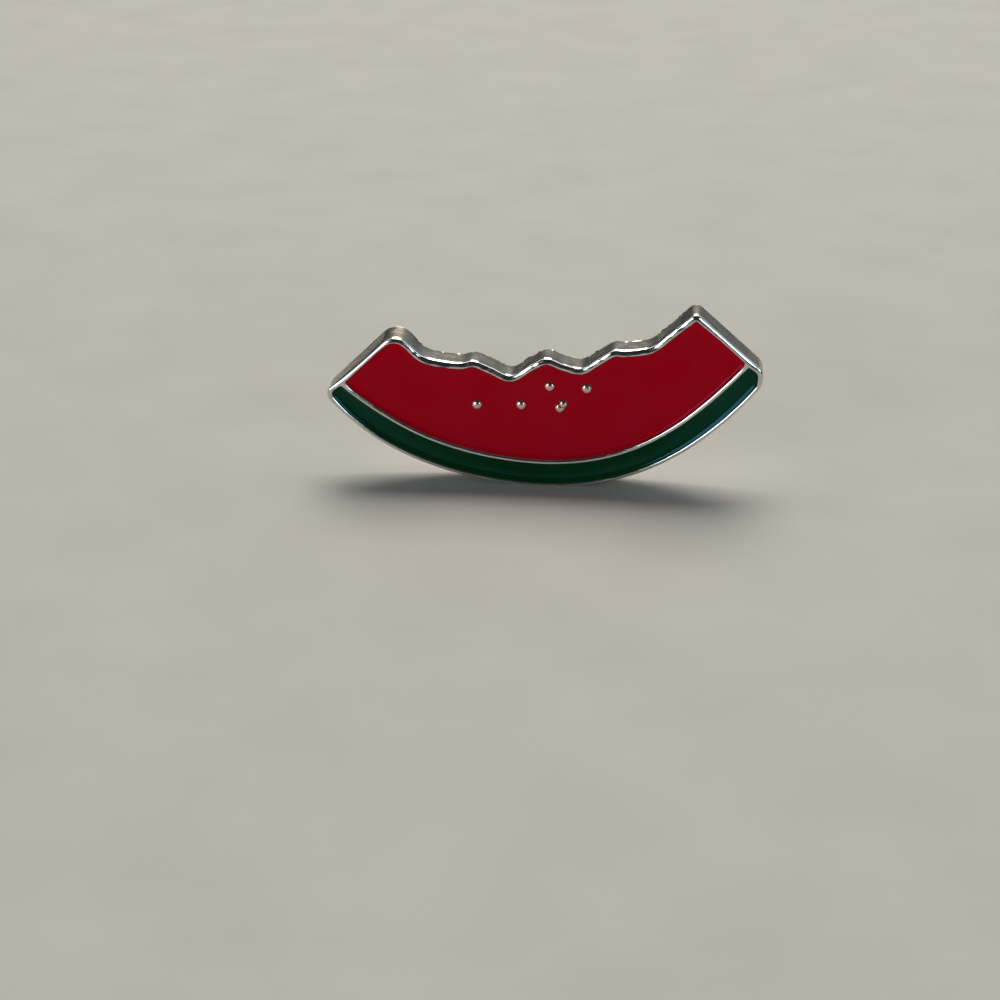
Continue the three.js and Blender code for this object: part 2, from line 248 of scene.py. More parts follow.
# The room: how bright it looks from the pin, by the sine of the height above the horizon. Over a range
# of a unit direction's y the front gives way to the back, and over one of its x a dim left to the rest.
BEHIND = [(0.0, 0.12), (0.12, 0.15), (0.26, 0.31), (0.46, 0.34), (0.62, 0.17), (0.9, 0.1)]
IN_FRONT = [(0.0, 0.04), (0.5, 0.02), (0.9, 0.06)]
BEHIND_TINT, IN_FRONT_TINT = (0.88, 0.97, 1.02), (0.8, 0.95, 1.1)
FRONT_TO_BACK = (-0.25, 0.3)
LEFT_TO_RIGHT = (-0.5, 0.0)
LEFT_DIM = 0.25

# The lamps, a metre from the pin: azimuth and elevation in degrees, width and height in metres, how
# bright the face looks, and colour.
LAMPS = {
    "key": (180, 61, 0.55, 0.7, 6.2, (1.0, 0.955, 0.86)),
    "ceiling": (180, 72, 2.6, 0.2, 2.0, (1.0, 0.98, 0.93)),
    "left_side": (-95, 22, 0.5, 0.3, 0.8, (0.62, 0.86, 1.0)),
    "right_side": (98, 31, 0.5, 0.3, 0.8, (0.62, 0.86, 1.0)),
    "left_window": (-36, 14, 0.42, 0.42, 4.5, (0.86, 0.95, 1.0)),
    "right_window": (37, 15, 0.33, 0.32, 3.8, (0.66, 0.88, 1.0)),
}
FLOOR_SIZE = 3.0

# The camera: angles in degrees and the rest in millimetres. The target is on the plate's front plane.
CAMERA_AZIMUTH = 5.01
CAMERA_ELEVATION = 24.465
CAMERA_DISTANCE = 138.9
CAMERA_TARGET = (-2.884, -1.196)
CAMERA_SENSOR = 36
CAMERA_FOCAL_LENGTH = 72
CAMERA_NEAREST = 1


# ---- Curves in the pin's plane -----------------------------------------------------------------


def swell(angle):
    """How far an arc along the rind strays from a true circle, by angle from straight down."""
    return RIND_SWELL * np.sin(RIND_SWELL_WAVES * angle)


def flare(angle):
    """How far the line between flesh and rind strays outwards near its two ends."""
    beyond = np.maximum(np.abs(angle) - LINE_FLARE_START, 0)
    return np.where(angle < 0, LINE_FLARE_LEFT, LINE_FLARE_RIGHT) * beyond**2


def arc(radius, start, end, stray=swell):
    """Points along an arc that strays from a circle of a radius by an amount for each angle."""
    angles = np.linspace(start, end, max(2, int(abs(end - start) * radius / LOOP_STEP)) + 1)
    r = radius + stray(angles)
    return np.stack([r * np.sin(angles), -r * np.cos(angles)], 1)


def line_stray(angle):
    """How far the line between flesh and rind strays from a true circle."""
    return swell(angle) + flare(angle)


def angle_of(point):
    """A point's angle about the rind's centre, from straight down, positive to the right."""
    return math.atan2(point[0], -point[1])


def rounded_corner(before, corner, after, radius):
    """Points of a circular fillet between two straight edges that meet at corner."""
    corner = np.array(corner, float)
    to_before = np.array(before, float) - corner
    to_after = np.array(after, float) - corner
    to_before /= np.linalg.norm(to_before)
    to_after /= np.linalg.norm(to_after)
    half = math.acos(float(np.clip(to_before @ to_after, -1, 1))) / 2
    bisector = to_before + to_after
    centre = corner + bisector / np.linalg.norm(bisector) * radius / math.sin(half)
    start = corner + to_before * radius / math.tan(half) - centre
    end = corner + to_after * radius / math.tan(half) - centre
    turn = math.atan2(start[0] * end[1] - start[1] * end[0], float(start @ end))
    angles = np.linspace(0, turn, CORNER_STEPS + 1)
    cos, sin = np.cos(angles), np.sin(angles)
    return centre + np.stack([start[0] * cos - start[1] * sin, start[0] * sin + start[1] * cos], 1)


def spline(points, count):
    """A uniform Catmull-Rom curve through the points."""
    p = np.array(points, float)
    t = np.linspace(0, len(p) - 1, count)
    i = np.minimum(t.astype(int), len(p) - 2)
    w = (t - i)[:, None]
    p0, p1, p2, p3 = p[np.maximum(i - 1, 0)], p[i], p[i + 1], p[np.minimum(i + 2, len(p) - 1)]
    v0, v1 = (p2 - p0) / 2, (p3 - p1) / 2
    cubic = 2 * p1 - 2 * p2 + v0 + v1
    square = -3 * p1 + 3 * p2 - 2 * v0 - v1
    return cubic * w**3 + square * w**2 + v0 * w + p1


def lengths(points):
    """Distance run along a path, from 0 at its first point."""
    return np.concatenate([[0], np.cumsum(np.linalg.norm(np.diff(points, axis=0), axis=1))])


def along(points, fractions):
    """Points at fractions of a path's length."""
    run = lengths(points)
    at = np.asarray(fractions) * run[-1]
    return np.stack([np.interp(at, run, points[:, k]) for k in range(points.shape[1])], 1)


def evenly(loop):
    """A closed loop with its points spread evenly."""
    closed = np.concatenate([loop, loop[:1]])
    count = int(lengths(closed)[-1] / LOOP_STEP)
    return along(closed, np.arange(count) / count)


def without_doubles(loop):
    """A closed loop without the points that repeat the one before."""
    keep = np.linalg.norm(loop - np.roll(loop, 1, axis=0), axis=1) > SAME_POINT
    return loop[keep]


def slice_outline():
    """The whole slice, anticlockwise from the left end of the rind."""
    start = angle_of(LEFT_TIP) + TIP_CUT * LEFT_TIP_RADIUS / RIND_RADIUS
    end = angle_of(RIGHT_TIP) - TIP_CUT * RIGHT_TIP_RADIUS / RIND_RADIUS
    rind = arc(RIND_RADIUS, start, end)
    bites = spline(BITTEN_EDGE[::-1], BITE_STEPS)
    parts = [
        rind,
        rounded_corner(rind[-1], RIGHT_TIP, RIGHT_HORN, RIGHT_TIP_RADIUS),
        rounded_corner(RIGHT_TIP, RIGHT_HORN, bites[0], RIGHT_HORN_RADIUS),
        bites,
        rounded_corner(bites[-1], LEFT_HORN, LEFT_TIP, LEFT_HORN_RADIUS),
        rounded_corner(LEFT_HORN, LEFT_TIP, rind[0], LEFT_TIP_RADIUS),
    ]
    return evenly(without_doubles(np.concatenate(parts)))


def inset(loop, distance):
    """An anticlockwise loop drawn in by one distance, or by one for each point. Negative is out."""

    def inward(vector):
        """Unit vectors a quarter turn to the left of others."""
        turned = np.stack([-vector[:, 1], vector[:, 0]], 1)
        return turned / np.linalg.norm(turned, axis=1)[:, None]

    before = inward(loop - np.roll(loop, 1, axis=0))
    after = inward(np.roll(loop, -1, axis=0) - loop)
    scale = distance / (1 + (before * after).sum(1))
    return loop + (before + after) * scale[:, None]


def split_by_line(loop, radius, inside):
    """The stretch of a loop inside or outside an edge of the raised line, with its ends on that edge."""
    angles = np.arctan2(loop[:, 0], -loop[:, 1])
    beyond = np.linalg.norm(loop, axis=1) - radius - line_stray(angles)
    wanted = beyond < 0 if inside else beyond > 0
    first = next(i for i in range(len(loop)) if wanted[i] and not wanted[i - 1])
    order = np.arange(first, first + wanted.sum()) % len(loop)

    def crossing(a, b):
        """Where the loop crosses the line's edge between two of its points."""
        share = beyond[a] / (beyond[a] - beyond[b])
        return loop[a] + (loop[b] - loop[a]) * share

    start = crossing(order[0] - 1, order[0])
    end = crossing(order[-1], (order[-1] + 1) % len(loop))
    return np.concatenate([[start], loop[order], [end]])


def fillet(loop, corner, radius):
    """A closed loop with the corner nearest to a point rounded."""
    at = int(np.linalg.norm(loop - corner, axis=1).argmin())
    turned = np.roll(loop, -at, axis=0)
    run = turned[np.linalg.norm(turned - turned[0], axis=1) > FILLET_REACH * radius]
    bend = rounded_corner(run[-1], turned[0], run[0], radius)
    return np.concatenate([bend, run])


def ramp_up(value, start, end):
    """0 up to start, 1 from end on, and straight between."""
    return np.clip((value - start) / (end - start), 0, 1)


def smoothed(values, times=SMOOTHING):
    """Values round a loop with their sudden changes evened out."""
    for _ in range(times):
        values = (np.roll(values, 1) + values + np.roll(values, -1)) / 3
    return values


def on_rind(loop):
    """Which points of a loop lie nearer to the rind's outer edge than to the line."""
    return np.linalg.norm(loop, axis=1) > (LINE_INNER_RADIUS + RIND_RADIUS) / 2


def rim_width(loop):
    """The rim's width at each point of the outline, measured in from the plate's back edge."""
    width = np.where(on_rind(loop), LOWER_RIM_WIDTH, RIM_WIDTH)
    for corners, extra, reach in (
        ((LEFT_HORN, RIGHT_HORN), HORN_RIM_EXTRA, HORN_REACH),
        ((LEFT_TIP, RIGHT_TIP), TIP_RIM_EXTRA, TIP_REACH),
    ):
        for corner in corners:
            away = np.linalg.norm(loop - np.array(corner), axis=1) / reach
            width = width + extra * np.exp(-(away**2))
    return smoothed(width)


def lean(loop):
    """How far the side wall leans in from back to front at each point of the outline."""
    x = loop[:, 0]
    up = ramp_up(loop[:, 1], *LEAN_RISE)
    left = LEFT_LEAN * ramp_up(-x, *LEFT_LEAN_RUN) * up
    right = RIGHT_LEAN * ramp_up(x, *RIGHT_LEAN_RUN) * up
    return smoothed(left + right)


def pocket(colour):
    """A pocket's loop and its four corners: lower left, lower right, upper right and upper left."""
    whole = inset(OUTLINE, rim_width(OUTLINE))
    red = colour == "red"
    radius = LINE_INNER_RADIUS if red else LINE_INNER_RADIUS + LINE_WIDTH
    run = split_by_line(whole, radius, inside=red)
    line = arc(radius, angle_of(run[-1]), angle_of(run[0]), line_stray)
    loop = without_doubles(np.concatenate([run, line[1:-1]]))
    for corner in (run[0], run[-1]):
        loop = fillet(loop, corner, POCKET_CORNER_RADIUS)
    loop = evenly(without_doubles(loop))
    if red:
        return loop, [run[-1], run[0], RIGHT_HORN, LEFT_HORN]
    return loop, [LEFT_TIP, RIGHT_TIP, run[-1], run[0]]


def distance_to(points, loop):
    """Each point's distance to a closed loop."""
    a = loop
    edge = np.roll(loop, -1, axis=0) - a
    square = (edge**2).sum(1)
    found = np.empty(len(points))
    for start in range(0, len(points), DISTANCE_BATCH):
        batch = slice(start, start + DISTANCE_BATCH)
        p = points[batch, None, :]
        share = np.clip(((p - a) * edge).sum(2) / square, 0, 1)
        found[batch] = np.linalg.norm(p - a - share[..., None] * edge, axis=2).min(1)
    return found


def standing(flat):
    """Points of the pin's plane once it is turned as it stands."""
    cos, sin = math.cos(STANDING_TURN), math.sin(STANDING_TURN)
    return np.stack([flat[:, 0] * cos - flat[:, 1] * sin, flat[:, 0] * sin + flat[:, 1] * cos], 1)


OUTLINE = inset(slice_outline(), INSIDE_THE_CAD)
SILHOUETTE = standing(OUTLINE)
REST_HEIGHT = SILHOUETTE[:, 1].min() + REST_FLAT_DEPTH
PLATE_LOW, PLATE_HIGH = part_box("plate")
SILHOUETTE_MIDDLE = (SILHOUETTE[:, 0].min() + SILHOUETTE[:, 0].max()) / 2
SHIFT_X = (PLATE_LOW.x + PLATE_HIGH.x) / 2 / MM - SILHOUETTE_MIDDLE


def place(flat, height):
    """Points of the pin's plane, at a height out of it, in the CAD frame."""
    flat = standing(np.asarray(flat, float))
    height = np.broadcast_to(height, len(flat))
    x = (flat[:, 0] + SHIFT_X) * MM
    y = PLATE_HIGH.y - height * MM
    z = (np.maximum(flat[:, 1], REST_HEIGHT) - REST_HEIGHT) * MM + PLATE_LOW.z
    return np.stack([x, y, z], 1)


# ---- Meshes ------------------------------------------------------------------------------------


class Shell:
    """A mesh put together from rings of points, in metres. finish is a material's index."""

    def __init__(self):
        self.points = []
        self.faces = []
        self.finishes = []

    def ring(self, points):
        """Adds points and gives their indices."""
        start = len(self.points)
        self.points.extend(map(tuple, points))
        return list(range(start, len(self.points)))

    def strip(self, one, other, finish=0, closed=True):
        """Quads between two rings of the same length."""
        count = len(one) if closed else len(one) - 1
        for i in range(count):
            j = (i + 1) % len(one)
            self.faces.append((one[i], one[j], other[j], other[i]))
            self.finishes.append(finish)

    def strips(self, rings, finish=0):
        """Quads between each closed ring and the next."""
        for one, other in zip(rings, rings[1:]):
            self.strip(one, other, finish)

    def cap(self, rings, finish=0):
        """A flat face with the first ring as its edge and the others as its holes."""
        indices = [i for ring in rings for i in ring]
        loops = [[Vector(self.points[i]) for i in ring] for ring in rings]
        for triangle in tessellate_polygon(loops):
            self.faces.append(tuple(indices[i] for i in triangle))
            self.finishes.append(finish)

    def fan(self, ring, tip, finish=0):
        """Triangles from a ring to a point."""
        (tip,) = self.ring([tip])
        for i in range(len(ring)):
            self.faces.append((ring[i], ring[(i + 1) % len(ring)], tip))
            self.finishes.append(finish)

    def build(self, name, materials):
        """The shell as an object in the scene, smoothly shaded."""
        mesh = bpy.data.meshes.new(name)
        mesh.from_pydata(self.points, [], self.faces)
        for material in materials:
            mesh.materials.append(material)
        mesh.polygons.foreach_set("material_index", self.finishes)
        work = bmesh.new()
        work.from_mesh(mesh)
        bmesh.ops.dissolve_degenerate(work, dist=NO_LENGTH, edges=work.edges)
        bmesh.ops.recalc_face_normals(work, faces=work.faces)
        work.to_mesh(mesh)
        work.free()
        mesh.shade_smooth()
        piece = bpy.data.objects.new(name, mesh)
        bpy.context.scene.collection.objects.link(piece)
        return piece


def uneven(points, what):
    """A smooth random number from about -1 to 1 for each point, for something that varies."""
    reach, steps = UNEVEN[what]
    shift = Vector([steps * step for step in NOISE_STEP])
    return np.array([noise.noise(Vector(p) / (reach * MM) + shift) for p in points])


def quarter():
    """Cosine and sine through a quarter turn."""
    angles = np.linspace(0, math.pi / 2, ROUND_STEPS + 1)
    return list(zip(np.cos(angles), np.sin(angles)))


# ---- The plate -----------------------------------------------------------------------------------

RIM, WALL, BACK, SEED = range(4)


def in_the_bites(loop):
    """Close to 1 for the points of a loop on the bitten edge, and close to 0 for the others."""
    (left, _), (right, _) = BITTEN_EDGE[0], BITTEN_EDGE[-1]
    between = (loop[:, 0] > left) & (loop[:, 0] < right)
    above_line = np.linalg.norm(loop, axis=1) < LINE_INNER_RADIUS
    return smoothed((between & above_line).astype(float), BITE_SMOOTHING)


def dented(loop):
    """How deep in a dent each point of a loop is, up to 1 in the middle of one."""
    return sum(np.exp(-(np.linalg.norm(loop - dent, axis=1) / DENT_REACH) ** 2) for dent in DENTS)


def add_outside(shell):
    """The plate's back, side wall and rounded front edge. Gives the ring where the flat front begins."""
    foot = place(OUTLINE, 0)
    leaning = lean(OUTLINE)
    rim = rim_width(OUTLINE) - leaning
    back_round = BACK_ROUND * (1 + BACK_ROUND_VARIES * uneven(foot, "back edge"))
    share = smoothed(np.where(on_rind(OUTLINE), LOWER_SECTION_SHARE, 1.0))
    bitten = in_the_bites(OUTLINE)
    varies = RIM_VARIES * uneven(foot, "rim") + BITE_RIM_VARIES * bitten * uneven(foot, "bitten rim")
    section = share * rim * (1 + varies + DENT_SIZE * dented(OUTLINE))
    burr = bitten * np.clip(BURR_SHARPNESS * uneven(foot, "burr") - BURR_THRESHOLD, 0, 1)
    top = PLATE_THICKNESS

    def ring(depth, height):
        """A ring at a height, drawn in from the outline by a depth."""
        return shell.ring(place(inset(OUTLINE, depth), height))

    def taper(height):
        """How far the wall round the bites is drawn in at a height."""
        return BACK_TAPER * bitten * np.clip(1 - height / BACK_TAPER_HEIGHT, 0, 1)

    back = [ring(back_round + BACK_TAPER * bitten + SUPPORT, 0)]
    for c, s in quarter():
        height = back_round * (1 - c)
        back.append(ring(back_round * (1 - s) + taper(height), height))
    wall = []
    for up in np.linspace(0, 1, WALL_RINGS + 2)[1:-1] ** WALL_CROWDING:
        height = back_round + up * (top - section * RIM_SECTION[0][1] - back_round)
        here = place(OUTLINE, height)
        hollow = uneven(here, "wall") + FINE_WALL_SHARE * uneven(here, "fine wall")
        hollow = WALL_UNEVENNESS * np.maximum(hollow, 0) * math.sin(math.pi * up)
        speck = BURR * burr * np.exp(-(((height - BURR_HEIGHT) / BURR_SPREAD) ** 2))
        wall.append(ring(hollow + taper(height) - speck + leaning * height / top, height))
    front = []
    for depth, drop in spline(RIM_SECTION, RIM_SECTION_STEPS):
        front.append(ring(leaning + section * max(depth, 0), top - section * max(drop, 0)))
    front.append(ring(leaning + section * RIM_SECTION[-1][0] + SUPPORT, top))

    shell.cap([back[0]], BACK)
    shell.strips(back, BACK)
    shell.strips([back[-1], *wall, front[0]], WALL)
    shell.strips(front, RIM)
    return front[-1]


def add_pocket(shell, colour):
    """A pocket with rounded shoulders. Gives the ring round it where the flat front ends."""
    loop, _ = pocket(colour)
    to_front = distance_to(loop, inset(OUTLINE, lean(OUTLINE)))
    on_line = ramp_up(to_front, RIM_WIDTH, 2 * RIM_WIDTH)
    flesh_share = SHOULDER_SHARES["red"]
    share = flesh_share + (SHOULDER_SHARES[colour] - flesh_share) * on_rind(loop)
    shoulder = smoothed(share) * np.minimum(to_front, RIM_WIDTH) * (1 - on_line)
    shoulder += LINE_SHOULDER_SHARES[colour] * LINE_WIDTH * on_line
    varies = 1 + SHOULDER_VARIES * uneven(place(loop, 0), "shoulder")
    shoulder = smoothed(shoulder, SHOULDER_SMOOTHING) * varies
    top = PLATE_THICKNESS
    rings = [shell.ring(place(inset(loop, -shoulder - SUPPORT), top))]
    for c, s in quarter():
        edge = inset(loop, -shoulder * (1 - s))
        rings.append(shell.ring(place(edge, top - shoulder * (1 - c))))
    rings.append(shell.ring(place(loop, top - POCKET_DEPTH)))
    shell.strips(rings, RIM)
    shell.cap([rings[-1]], RIM)
    return rings[0]


def add_seed(shell, x, y, scale):
    """A struck dot in the red pocket, with a domed top that peaks a little below its middle."""
    turns = np.linspace(0, 2 * math.pi, SEED_SIDES, endpoint=False)
    circle = SEED_RADIUS * scale * np.stack([np.cos(turns), np.sin(turns)], 1)
    centre = np.array([x, y])
    shoulder = SEED_TOP - SEED_DOME
    rings = [shell.ring(place(centre + circle, PLATE_THICKNESS - POCKET_DEPTH - SUPPORT))]
    drop = np.array([0, -SEED_LEAN * SEED_RADIUS * scale])
    for c, s in quarter()[:-1]:
        c, s = c**SEED_FLATNESS, s**SEED_FLATNESS
        rings.append(shell.ring(place(centre + circle * c + drop * s, shoulder + SEED_DOME * s)))
    shell.cap([rings[0]], SEED)
    shell.strips(rings, SEED)
    shell.fan(rings[-1], place([centre + drop], SEED_TOP)[0], SEED)


def plate():
    """The struck plate: a rim and a line round two sunken pockets, with the seeds in the red one."""
    shell = Shell()
    outer = add_outside(shell)
    inner = [add_pocket(shell, colour) for colour in ("red", "green")]
    shell.cap([outer, *inner], RIM)
    for seed in SEEDS:
        add_seed(shell, *seed)
    return shell.build("pin_plate", [rim_metal(), wall_metal(), back_metal(), seed_metal_painted_reflection()])


# ---- The enamel ----------------------------------------------------------------------------------


def crowded_ends(length):
    """Fractions of a length, close together at both ends and even between."""
    near = np.array(ENAMEL_EDGE_LINES)
    count = max(2, int((length - 2 * near[-1]) / ENAMEL_STEP))
    middle = np.linspace(near[-1], length - near[-1], count + 1)
    return np.concatenate([near, middle[1:-1], length - near[::-1]]) / length


def four_sides(loop, corners):
    """A loop cut at its corners: bottom and top run to the right, left and right run up."""
    at = [int(np.linalg.norm(loop - np.array(corner), axis=1).argmin()) for corner in corners]

    def stretch(a, b):
        """The points of the loop from one on to another."""
        count = (b - a) % len(loop)
        return loop[np.arange(a, a + count + 1) % len(loop)]

    lower_left, lower_right, upper_right, upper_left = at
    return (
        stretch(lower_left, lower_right),
        stretch(upper_right, upper_left)[::-1],
        stretch(upper_left, lower_left)[::-1],
        stretch(lower_right, upper_right),
    )


def filled(bottom, top, left, right):
    """A grid of points that fills the space between four sides."""
    across = crowded_ends((lengths(bottom)[-1] + lengths(top)[-1]) / 2)
    up = crowded_ends((lengths(left)[-1] + lengths(right)[-1]) / 2)
    bottom, top = along(bottom, across)[:, None], along(top, across)[:, None]
    left, right = along(left, up)[None], along(right, up)[None]
    u, v = across[:, None, None], up[None, :, None]
    left_corners = bottom[0] * (1 - v) + top[0] * v
    right_corners = bottom[-1] * (1 - v) + top[-1] * v
    corners = left_corners * (1 - u) + right_corners * u
    return bottom * (1 - v) + top * v + left * (1 - u) + right * u - corners


def enamel_height(points, loop, seeds, colour):
    """How high the enamel lies at each point: it climbs the pocket's walls and the seeds."""
    to_wall = distance_to(points, loop)
    to_seed = np.full(len(points), np.inf)
    for x, y, scale in seeds:
        away = np.linalg.norm(points - (x, y), axis=1) - SEED_RADIUS * scale
        to_seed = np.minimum(to_seed, np.maximum(away, 0))
    reach = ENAMEL_CLIMB_REACH[colour]
    climb = np.exp(-to_wall / reach)
    climb = climb + SEED_CLIMB_SHARE * np.exp(-to_seed / (SEED_CLIMB_SPREAD * reach))
    sag = ENAMEL_SAG * (1 - np.exp(-np.minimum(to_wall, to_seed) / ENAMEL_SAG_REACH))
    ripple = ENAMEL_UNEVENNESS * uneven(place(points, 0), "enamel")
    return ENAMEL_LEVEL + ENAMEL_CLIMB[colour] * climb - sag + ripple


def enamel(colour, name, material):
    """The enamel in a pocket."""
    loop, corners = pocket(colour)
    loop = inset(loop, -ENAMEL_OVERLAP)
    grid = filled(*four_sides(loop, corners))
    columns, rows = grid.shape[:2]
    flat = grid.reshape(-1, 2)
    shell = Shell()
    seeds = SEEDS if colour == "red" else []
    surface = shell.ring(place(flat, enamel_height(flat, loop, seeds, colour)))
    index = np.array(surface).reshape(columns, rows)
    for one, other in zip(index.tolist(), index[1:].tolist()):
        shell.strip(one, other, closed=False)
    edge = [*index[:, 0], *index[-1, 1:], *index[-2::-1, -1], *index[0, -2:0:-1]]
    floor = shell.ring(place(flat[edge], PLATE_THICKNESS - POCKET_DEPTH + FIT_GAP))
    shell.strip(edge, floor)
    shell.cap([floor])
    return shell.build(name, [material])


# ---- The post and its clutch ---------------------------------------------------------------------

POST_LOW, POST_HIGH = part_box("post")
POST_X = (POST_LOW.x + POST_HIGH.x) / 2 / MM
POST_Z = (POST_LOW.z + POST_HIGH.z) / 2 / MM
DISC_MIDDLE = CLUTCH_FRONT + CLUTCH_BEAD
SPRING_LEVEL = DISC_MIDDLE + CLUTCH_BEAD + FIT_GAP + SPRING_SHEET / 2


def behind(x, z, distance):
    """A point at x and z from the post's axis and a distance behind the plate, in the CAD frame."""
    ((across, up),) = standing(np.array([[x, z]], float))
    return ((POST_X + across) * MM, PLATE_HIGH.y + distance * MM, (POST_Z + up) * MM)


def sideways(path):
    """A unit vector square to a path at each of its points."""
    tangent = np.gradient(path, axis=0)
    return np.stack([-tangent[:, 1], tangent[:, 0]], 1) / np.linalg.norm(tangent, axis=1)[:, None]


def softened(profile, radius, closed=False):
    """A profile with every corner rounded, as far as its edges leave room."""
    points = np.array(profile, float)
    made = [] if closed else [points[:1]]
    first, last = (0, len(points)) if closed else (1, len(points) - 1)
    for i in range(first, last):
        before, corner, after = points[i - 1], points[i], points[(i + 1) % len(points)]
        to_before, to_after = before - corner, after - corner
        reach = min(np.linalg.norm(to_before), np.linalg.norm(to_after)) * CORNER_SHARE
        cosine = to_before @ to_after / np.linalg.norm(to_before) / np.linalg.norm(to_after)
        half = math.acos(float(np.clip(cosine, -1, 1))) / 2
        if half > NEARLY_STRAIGHT:
            made.append(points[i : i + 1])
        else:
            bend = rounded_corner(before, corner, after, min(radius, reach * math.tan(half)))
            made.append(bend[::2])
    return np.concatenate(made if closed else [*made, points[-1:]])


def add_turned(shell, profile, closed=False):
    """A profile of (radius, distance behind the plate) turned about the post's axis."""
    turns = np.linspace(0, 2 * math.pi, TURN_SIDES, endpoint=False)
    rings = [
        shell.ring([behind(radius * math.cos(t), radius * math.sin(t), distance) for t in turns])
        for radius, distance in profile
    ]
    shell.strips([*rings, rings[0]] if closed else rings)
    if not closed:
        shell.cap([rings[0]])
        shell.cap([rings[-1]])


def add_ribbon(shell, path, thickness, width, put):
    """A strip of sheet bent along a path. put places a point by path x, distance across and path y."""
    rings = []
    for point, out in zip(path, sideways(path)):
        above, below = point + out * thickness / 2, point - out * thickness / 2
        sides = [(above, 0.5), (above, -0.5), (below, -0.5), (below, 0.5)]
        rings.append(shell.ring([put(side[0], across * width, side[1]) for side, across in sides]))
    shell.strips(rings)
    shell.faces += [tuple(rings[0]), tuple(rings[-1])]
    shell.finishes += [0, 0]


def post():
    """A pointed needle with two locking grooves, soldered to the plate by its pad."""
    groove_radius, groove_length, groove_spacing, below_tip = 0.8 * POST_RADIUS, 0.3, 0.75, 0.6
    solder_spread, solder_height, fillet, rounding = 0.16, 0.1, 0.14, 0.12
    point_radius, point_end_radius, point_height = 0.1, 0.02, 0.02
    profile = [
        (POST_PAD_RADIUS + solder_spread, FIT_GAP / 2),
        (POST_PAD_RADIUS + solder_spread / 4, solder_height),
        (POST_PAD_RADIUS, POST_PAD_THICKNESS),
        (POST_RADIUS + fillet, POST_PAD_THICKNESS),
        (POST_RADIUS, POST_PAD_THICKNESS + fillet),
    ]
    for i in (1, 0):
        middle = POST_LENGTH - POST_TIP_LENGTH - below_tip - i * groove_spacing
        profile += [
            (POST_RADIUS, middle - groove_length),
            (groove_radius, middle - groove_length / 3),
            (groove_radius, middle + groove_length / 3),
            (POST_RADIUS, middle + groove_length),
        ]
    profile += [
        (POST_RADIUS, POST_LENGTH - POST_TIP_LENGTH),
        (point_radius, POST_LENGTH - point_height),
        (point_end_radius, POST_LENGTH),
    ]
    shell = Shell()
    add_turned(shell, softened(profile, rounding))
    return shell.build("pin_post", [spun_metal("post_nickel")])


def clutch_disc():
    """The clutch's base: a stamped disc with a raised middle, a rolled edge and two gripping lugs."""
    bead_turn, step_start, step_end, step_height, rounding = 2.3, 2.3, 2.65, 0.09, 0.07
    roll = np.linspace(-bead_turn, bead_turn, BEAD_STEPS + 1)
    rise = CLUTCH_BEAD * np.sin(roll)
    bead = np.stack([CLUTCH_RADIUS - CLUTCH_BEAD + CLUTCH_BEAD * np.cos(roll), DISC_MIDDLE + rise], 1)

    def face(side):
        """One face of the sheet, from the hole out to the bead."""
        level = DISC_MIDDLE + side * CLUTCH_SHEET / 2
        raised = level - step_height
        return [(POST_HOLE_RADIUS, raised), (step_start, raised), (step_end, level)]

    shell = Shell()
    profile = [*face(-1), *bead, *face(1)[::-1]]
    add_turned(shell, softened(profile, rounding, closed=True), closed=True)
    lug_sheet, lug_width, lug_reach, lug_bend, lug_edge = 0.22, 1.0, 0.75, 0.2, 0.04
    outer = SPRING_WIDTH / 2 + lug_sheet
    over = SPRING_LEVEL + (SPRING_SHEET + lug_sheet) / 2 + FIT_GAP
    path = softened([(outer, DISC_MIDDLE), (outer, over), (outer - lug_reach, over)], lug_bend)

    def upper(u, across, distance):
        """Places a point of the lug above the post."""
        return behind(across, u, distance)

    def lower(u, across, distance):
        """Places a point of the lug below the post."""
        return behind(across, -u, distance)

    add_ribbon(shell, path, lug_sheet, lug_width, upper)
    add_ribbon(shell, path, lug_sheet, lug_width, lower)
    return rounded(shell.build("clutch_disc", [spun_metal("clutch_nickel")]), lug_edge)


def clutch_wings():
    """The clutch's spring: one ribbon that curls into a ribbed wing on either side of the post."""
    middle = [*[(-x, rise) for x, rise in reversed(SPRING_WING)], (0, 0), *SPRING_WING]
    path = spline(middle, SPRING_STEPS) + (0, SPRING_LEVEL)
    run = lengths(path)
    from_middle = np.abs(run - run[-1] / 2)
    ribbed = np.clip((from_middle - RIBS_START) / RIB_SPACING, 0, RIBS)
    path += sideways(path) * (RIB_HEIGHT / 2 * (1 - np.cos(2 * math.pi * ribbed)))[:, None]
    shell = Shell()
    add_ribbon(shell, path, SPRING_SHEET, SPRING_WIDTH, behind)
    wings = shell.build("clutch_wings", [spun_metal("spring_nickel")])
    drill = Shell()
    cut_beyond, wing_edge = 1, 0.05
    add_turned(drill, [(POST_HOLE_RADIUS, 0), (POST_HOLE_RADIUS, SPRING_LEVEL + cut_beyond)])
    cutter = drill.build("post_hole", [])
    cut = wings.modifiers.new("hole", "BOOLEAN")
    cut.operation = "DIFFERENCE"
    cut.object = cutter
    apply_modifiers(wings)
    bpy.data.objects.remove(cutter)
    return rounded(wings, wing_edge)


def apply_modifiers(piece):
    """Makes a piece's modifiers part of its mesh."""
    evaluated = piece.evaluated_get(bpy.context.evaluated_depsgraph_get())
    made = bpy.data.meshes.new_from_object(evaluated)
    piece.modifiers.clear()
    piece.data = made


def rounded(piece, width):
    """Rounds a piece's sharp edges, by a width in millimetres."""
    bevel = piece.modifiers.new("rounding", "BEVEL")
    bevel.width = width * MM
    bevel.segments = BEVEL_SEGMENTS
    bevel.limit_method = "ANGLE"
    bevel.angle_limit = BEVEL_ANGLE
    piece.modifiers.new("even shading", "WEIGHTED_NORMAL")
    apply_modifiers(piece)
    return piece


